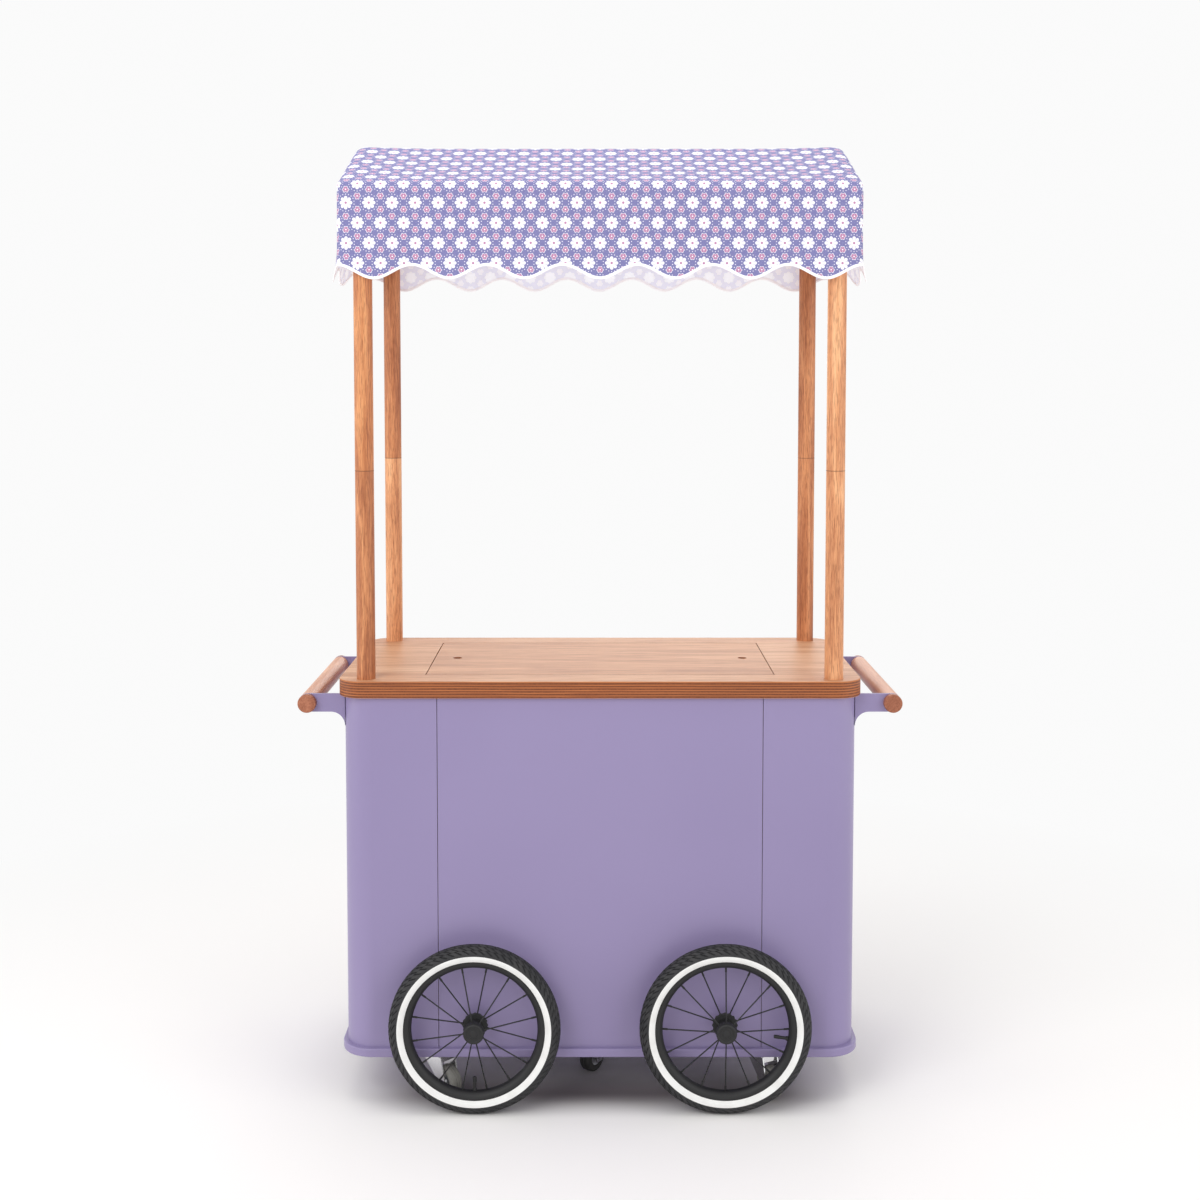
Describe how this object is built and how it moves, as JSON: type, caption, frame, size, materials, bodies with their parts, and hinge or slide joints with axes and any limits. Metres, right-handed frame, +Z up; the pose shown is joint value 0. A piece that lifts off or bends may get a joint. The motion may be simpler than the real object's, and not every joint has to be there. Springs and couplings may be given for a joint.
{
  "type": "promotional cart",
  "caption": "Wheeled vending cart with a rounded cabinet, plywood counter with lift-out lid, posts, a scalloped fabric canopy, push handles and spoked wheels.",
  "frame": {"origin": "on the floor, under the middle of the cart", "axes": "+X to the cart's right seen from its front, +Y to its back, +Z up"},
  "size_m": [1.415, 0.76, 2.2616],
  "materials": {
    "body_paint": "satin lavender lacquer",
    "bracket_paint": "satin lavender powder coat",
    "stained_plywood": "warm stained plywood, matt oil",
    "stained_wood": "warm stained beech, matt oil",
    "bare_wood": "unfinished birch plywood",
    "zinc_steel": "zinc plated",
    "canopy_fabric": "printed cotton canvas in periwinkle and white",
    "white_binding": "white cotton tape",
    "tyre_rubber": "black rubber with a white band",
    "wheel_black": "satin black",
    "castor_chrome": "polished",
    "castor_rubber": "grey black rubber"
  },
  "bodies": {
    "cabinet": {"base_plate": "body_paint", "left_end_shell": "body_paint", "right_end_shell": "body_paint", "front_panel": "body_paint", "rear_panel": "body_paint", "inner_battens": "bare_wood", "shelf": "bare_wood", "lid_ledge": "bare_wood", "countertop": "stained_plywood", "post_bolts": "zinc_steel", "post_dowels": "zinc_steel", "door_pivots": "zinc_steel", "left_handle_rod": "stained_wood", "right_handle_rod": "stained_wood", "handle_end_caps": "stained_wood", "handle_brackets": "bracket_paint", "wheel_axles": "zinc_steel", "castor_plates": "castor_chrome", "front_left_lower_post": "stained_wood", "front_right_lower_post": "stained_wood", "rear_left_lower_post": "stained_wood", "rear_right_lower_post": "stained_wood"},
    "left_door": {"left_door": "body_paint"},
    "right_door": {"right_door": "body_paint"},
    "lid": {"counter_lid": "stained_plywood"},
    "canopy": {"canopy_rails": "stained_wood", "gable_boards": "stained_wood", "ridge_pole": "stained_wood", "roof_panel": "canopy_fabric", "front_valance": "canopy_fabric", "rear_valance": "canopy_fabric", "left_valance": "canopy_fabric", "right_valance": "canopy_fabric", "hem_binding": "white_binding", "front_left_upper_post": "stained_wood", "front_right_upper_post": "stained_wood", "rear_left_upper_post": "stained_wood", "rear_right_upper_post": "stained_wood"},
    "front_left_wheel": {"front_left_tyre": "tyre_rubber", "front_left_rim": "wheel_black", "front_left_spoked_hub": "wheel_black"},
    "front_right_wheel": {"front_right_tyre": "tyre_rubber", "front_right_rim": "wheel_black", "front_right_spoked_hub": "wheel_black"},
    "rear_left_wheel": {"rear_left_tyre": "tyre_rubber", "rear_left_rim": "wheel_black", "rear_left_spoked_hub": "wheel_black"},
    "rear_right_wheel": {"rear_right_tyre": "tyre_rubber", "rear_right_rim": "wheel_black", "rear_right_spoked_hub": "wheel_black"},
    "front_left_castor": {"front_left_castor_fork": "castor_chrome"},
    "front_left_castor_roller": {"front_left_castor_wheel": "castor_rubber"},
    "front_right_castor": {"front_right_castor_fork": "castor_chrome"},
    "front_right_castor_roller": {"front_right_castor_wheel": "castor_rubber"},
    "rear_left_castor": {"rear_left_castor_fork": "castor_chrome"},
    "rear_left_castor_roller": {"rear_left_castor_wheel": "castor_rubber"},
    "rear_right_castor": {"rear_right_castor_fork": "castor_chrome"},
    "rear_right_castor_roller": {"rear_right_castor_wheel": "castor_rubber"},
    "centre_castor": {"centre_castor_fork": "castor_chrome"},
    "centre_castor_roller": {"centre_castor_wheel": "castor_rubber"}
  },
  "joints": [
    {"name": "left_door_hinge", "type": "hinge", "parent": "cabinet", "child": "left_door", "pos_m": [-0.36825, 0.281, 0.6865], "axis": [0, 0, 1], "range_deg": [0, 95]},
    {"name": "right_door_hinge", "type": "hinge", "parent": "cabinet", "child": "right_door", "pos_m": [0.36825, 0.281, 0.6865], "axis": [0, 0, -1], "range_deg": [0, 95]},
    {"name": "lid_lift", "type": "slide", "parent": "cabinet", "child": "lid", "axis": [0, 0, 1], "range_m": [0, 0.25]},
    {"name": "canopy_lift", "type": "slide", "parent": "cabinet", "child": "canopy", "axis": [0, 0, 1], "range_m": [0, 0.15]},
    {"name": "front_left_wheel_spin", "type": "hinge", "parent": "cabinet", "child": "front_left_wheel", "pos_m": [-0.29, -0.345, 0.199], "axis": [0, 1, 0], "continuous": true},
    {"name": "front_right_wheel_spin", "type": "hinge", "parent": "cabinet", "child": "front_right_wheel", "pos_m": [0.29, -0.345, 0.199], "axis": [0, 1, 0], "continuous": true},
    {"name": "rear_left_wheel_spin", "type": "hinge", "parent": "cabinet", "child": "rear_left_wheel", "pos_m": [-0.29, 0.345, 0.199], "axis": [0, 1, 0], "continuous": true},
    {"name": "rear_right_wheel_spin", "type": "hinge", "parent": "cabinet", "child": "rear_right_wheel", "pos_m": [0.29, 0.345, 0.199], "axis": [0, 1, 0], "continuous": true},
    {"name": "front_left_castor_swivel", "type": "hinge", "parent": "cabinet", "child": "front_left_castor", "pos_m": [-0.385, -0.235, 0.1], "axis": [0, 0, 1], "continuous": true},
    {"name": "front_left_castor_roll", "type": "hinge", "parent": "front_left_castor", "child": "front_left_castor_roller", "pos_m": [-0.35982, -0.25931, 0.0375], "axis": [0.6947, 0.7193, 0], "continuous": true},
    {"name": "front_right_castor_swivel", "type": "hinge", "parent": "cabinet", "child": "front_right_castor", "pos_m": [0.385, -0.235, 0.1], "axis": [0, 0, 1], "continuous": true},
    {"name": "front_right_castor_roll", "type": "hinge", "parent": "front_right_castor", "child": "front_right_castor_roller", "pos_m": [0.4025, -0.26531, 0.0375], "axis": [0.866, 0.5, 0], "continuous": true},
    {"name": "rear_left_castor_swivel", "type": "hinge", "parent": "cabinet", "child": "rear_left_castor", "pos_m": [-0.385, 0.235, 0.1], "axis": [0, 0, 1], "continuous": true},
    {"name": "rear_left_castor_roll", "type": "hinge", "parent": "rear_left_castor", "child": "rear_left_castor_roller", "pos_m": [-0.39697, 0.20211, 0.0375], "axis": [0.9397, -0.342, 0], "continuous": true},
    {"name": "rear_right_castor_swivel", "type": "hinge", "parent": "cabinet", "child": "rear_right_castor", "pos_m": [0.385, 0.235, 0.1], "axis": [0, 0, 1], "continuous": true},
    {"name": "rear_right_castor_roll", "type": "hinge", "parent": "rear_right_castor", "child": "rear_right_castor_roller", "pos_m": [0.40143, 0.2041, 0.0375], "axis": [0.8829, 0.4695, 0], "continuous": true},
    {"name": "centre_castor_swivel", "type": "hinge", "parent": "cabinet", "child": "centre_castor", "pos_m": [0, -0.088, 0.1], "axis": [0, 0, 1], "continuous": true},
    {"name": "centre_castor_roll", "type": "hinge", "parent": "centre_castor", "child": "centre_castor_roller", "pos_m": [-0.01906, -0.11735, 0.0375], "axis": [0.8387, -0.5446, 0], "continuous": true}
  ]
}
